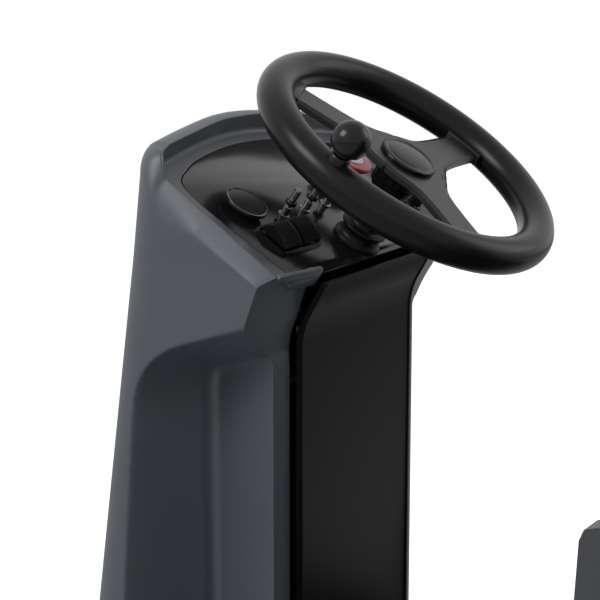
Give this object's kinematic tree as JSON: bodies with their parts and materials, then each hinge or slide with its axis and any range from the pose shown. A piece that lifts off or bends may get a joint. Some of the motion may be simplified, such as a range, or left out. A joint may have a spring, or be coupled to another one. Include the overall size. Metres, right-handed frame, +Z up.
{
  "type": "ride on sweeper",
  "caption": "Compact ride-on floor sweeper with a steering console, driver's seat, roller brush, side brushes and rear debris hopper.",
  "frame": {"origin": "on the floor under the middle of the machine", "axes": "+Z up, +Y towards the rear, +X towards the machine's left side"},
  "size_m": [0.98, 1.42, 1.2022],
  "materials": {
    "shell": "satin moulded blue-grey",
    "black_plastic": "satin black",
    "dash": "matt black",
    "gloss_black": "glossy black",
    "rubber": "matt rubber",
    "tyre": "solid rubber tyre",
    "steel": "machined steel",
    "bright": "bright plated",
    "painted_steel": "black powder coat",
    "red": "signal red",
    "pale_grey": "light grey",
    "bristle": "bristle filaments",
    "vinyl": "black vinyl"
  },
  "bodies": {
    "chassis": {"main_frame": "painted_steel", "floor_deck": "black_plastic", "floor_mat": "rubber", "front_bumper": "rubber", "console_shell": "shell", "console_rear_panel": "black_plastic", "dash_panel": "dash", "column_tube": "steel", "column_boot": "rubber", "steering_stand": "painted_steel", "steering_chain": "steel", "stop_collar": "pale_grey", "paddle_frame": "black_plastic", "toggle_bush_1": "bright", "toggle_bush_2": "bright", "toggle_bush_3": "bright", "rear_body": "shell", "hood_hinge": "painted_steel", "battery": "black_plastic", "filter_box": "black_plastic", "suction_fan": "painted_steel"},
    "steering_wheel": {"steering_rim": "black_plastic", "spoke_plate": "black_plastic", "hub_cap": "black_plastic", "hub_collar": "black_plastic", "knob_post": "black_plastic", "steering_shaft": "steel"},
    "spinner": {"spinner_knob": "gloss_black"},
    "intermediate": {"intermediate_shaft": "steel"},
    "fork": {"front_fork": "painted_steel"},
    "front_wheel": {"front_tyre": "tyre", "front_hub": "pale_grey"},
    "rear_wheel_left": {"rear_left_tyre": "tyre", "rear_left_hub": "pale_grey"},
    "rear_wheel_right": {"rear_right_tyre": "tyre", "rear_right_hub": "pale_grey"},
    "stop_switch": {"stop_button": "red"},
    "round_switch": {"round_button": "black_plastic"},
    "paddle_1": {"paddle_switch_1": "gloss_black"},
    "paddle_2": {"paddle_switch_2": "gloss_black"},
    "toggle_1": {"toggle_lever_1": "bright"},
    "toggle_2": {"toggle_lever_2": "bright"},
    "toggle_3": {"toggle_lever_3": "bright"},
    "speed_control": {"speed_knob": "black_plastic"},
    "accelerator": {"accelerator_pedal": "rubber"},
    "brake": {"brake_pedal": "rubber"},
    "brush_lift": {"main_brush_arm": "painted_steel"},
    "main_brush": {"main_brush_core": "black_plastic", "main_brush_bristles": "bristle"},
    "side_arm_left": {"left_brush_arm": "painted_steel"},
    "side_arm_right": {"right_brush_arm": "painted_steel"},
    "side_brush_left": {"left_brush": "bristle"},
    "side_brush_right": {"right_brush": "bristle"},
    "hopper": {"hopper_bin": "black_plastic", "hopper_handle": "black_plastic"},
    "hood": {"hood": "shell", "seat_rails": "steel"},
    "seat": {"seat_pan": "painted_steel", "seat_cushion": "vinyl", "backrest": "vinyl"}
  },
  "joints": [
    {"name": "steering_turn", "type": "hinge", "parent": "chassis", "child": "steering_wheel", "pos_m": [0, -0.29, 1.09], "axis": [0, 0.5563, 0.831], "range_deg": [-210, 210]},
    {"name": "spinner_turn", "type": "hinge", "parent": "steering_wheel", "child": "spinner", "pos_m": [0.16495, -0.26826, 1.12972], "axis": [0, 0.5563, 0.831], "continuous": true},
    {"name": "intermediate_turn", "type": "hinge", "parent": "chassis", "child": "intermediate", "pos_m": [0, -0.42, 0.89581], "axis": [0, 0, 1], "range_deg": [-210, 210]},
    {"name": "fork_turn", "type": "hinge", "parent": "chassis", "child": "fork", "pos_m": [0, -0.52, 0.25], "axis": [0, 0, 1], "range_deg": [-70, 70]},
    {"name": "front_wheel_roll", "type": "hinge", "parent": "fork", "child": "front_wheel", "pos_m": [0, -0.52, 0.115], "axis": [1, 0, 0], "continuous": true},
    {"name": "rear_left_roll", "type": "hinge", "parent": "chassis", "child": "rear_wheel_left", "pos_m": [0.334, 0.4, 0.13], "axis": [1, 0, 0], "continuous": true},
    {"name": "rear_right_roll", "type": "hinge", "parent": "chassis", "child": "rear_wheel_right", "pos_m": [-0.334, 0.4, 0.13], "axis": [1, 0, 0], "continuous": true},
    {"name": "stop_press", "type": "slide", "parent": "chassis", "child": "stop_switch", "axis": [0, -0.5563, -0.831], "range_m": [0, 0.004]},
    {"name": "round_press", "type": "slide", "parent": "chassis", "child": "round_switch", "axis": [0, -0.5563, -0.831], "range_m": [0, 0.004], "stiffness_N_per_m": 300, "springref_m": -0.002},
    {"name": "paddle_rock_1", "type": "hinge", "parent": "chassis", "child": "paddle_1", "pos_m": [0.1285, -0.37476, 1.01461], "axis": [1, 0, 0], "range_deg": [-8, 8]},
    {"name": "paddle_rock_2", "type": "hinge", "parent": "chassis", "child": "paddle_2", "pos_m": [0.089, -0.37476, 1.01461], "axis": [1, 0, 0], "range_deg": [-8, 8]},
    {"name": "toggle_flip_1", "type": "hinge", "parent": "chassis", "child": "toggle_1", "pos_m": [0.0735, -0.39996, 1.03629], "axis": [1, 0, 0], "range_deg": [-12, 12]},
    {"name": "toggle_flip_2", "type": "hinge", "parent": "chassis", "child": "toggle_2", "pos_m": [0.028, -0.39996, 1.03629], "axis": [1, 0, 0], "range_deg": [-12, 12]},
    {"name": "toggle_flip_3", "type": "hinge", "parent": "chassis", "child": "toggle_3", "pos_m": [-0.017, -0.39996, 1.03629], "axis": [1, 0, 0], "range_deg": [-12, 12]},
    {"name": "speed_turn", "type": "hinge", "parent": "chassis", "child": "speed_control", "pos_m": [-0.17, -0.3688, 1.01543], "axis": [0, 0.5563, 0.831], "range_deg": [0, 270]},
    {"name": "accelerator_press", "type": "hinge", "parent": "chassis", "child": "accelerator", "pos_m": [-0.312, -0.345, 0.314], "axis": [1, 0, 0], "range_deg": [0, 15], "stiffness_Nm_per_rad": 1.2, "springref_deg": -22.92},
    {"name": "brake_press", "type": "hinge", "parent": "chassis", "child": "brake", "pos_m": [0.312, -0.345, 0.314], "axis": [1, 0, 0], "range_deg": [0, 15], "stiffness_Nm_per_rad": 1.2, "springref_deg": -22.92},
    {"name": "brush_lift", "type": "hinge", "parent": "chassis", "child": "brush_lift", "pos_m": [0, -0.04, 0.255], "axis": [1, 0, 0], "range_deg": [0, 5]},
    {"name": "main_brush_spin", "type": "hinge", "parent": "brush_lift", "child": "main_brush", "pos_m": [0, 0.14, 0.142], "axis": [1, 0, 0], "continuous": true},
    {"name": "side_arm_left_lift", "type": "hinge", "parent": "chassis", "child": "side_arm_left", "pos_m": [0.3, -0.385, 0.2], "axis": [-1, 0, 0], "range_deg": [0, 12]},
    {"name": "side_brush_left_spin", "type": "hinge", "parent": "side_arm_left", "child": "side_brush_left", "pos_m": [0.33, -0.545, 0.07], "axis": [0, 0, 1], "continuous": true},
    {"name": "side_arm_right_lift", "type": "hinge", "parent": "chassis", "child": "side_arm_right", "pos_m": [-0.3, -0.385, 0.2], "axis": [-1, 0, 0], "range_deg": [0, 12]},
    {"name": "side_brush_right_spin", "type": "hinge", "parent": "side_arm_right", "child": "side_brush_right", "pos_m": [-0.33, -0.545, 0.07], "axis": [0, 0, 1], "continuous": true},
    {"name": "hopper_out", "type": "slide", "parent": "chassis", "child": "hopper", "axis": [0, 1, 0], "range_m": [0, 0.38]},
    {"name": "hood_open", "type": "hinge", "parent": "chassis", "child": "hood", "pos_m": [0, 0.59, 0.75], "axis": [-1, 0, 0], "range_deg": [0, 50]},
    {"name": "seat_slide", "type": "slide", "parent": "hood", "child": "seat", "axis": [0, 1, 0], "range_m": [-0.04, 0.04]}
  ],
  "couplings": [
    {"joint": "intermediate_turn", "follows": "steering_turn", "ratio": 1},
    {"joint": "fork_turn", "follows": "steering_turn", "ratio": 0.33333}
  ]
}
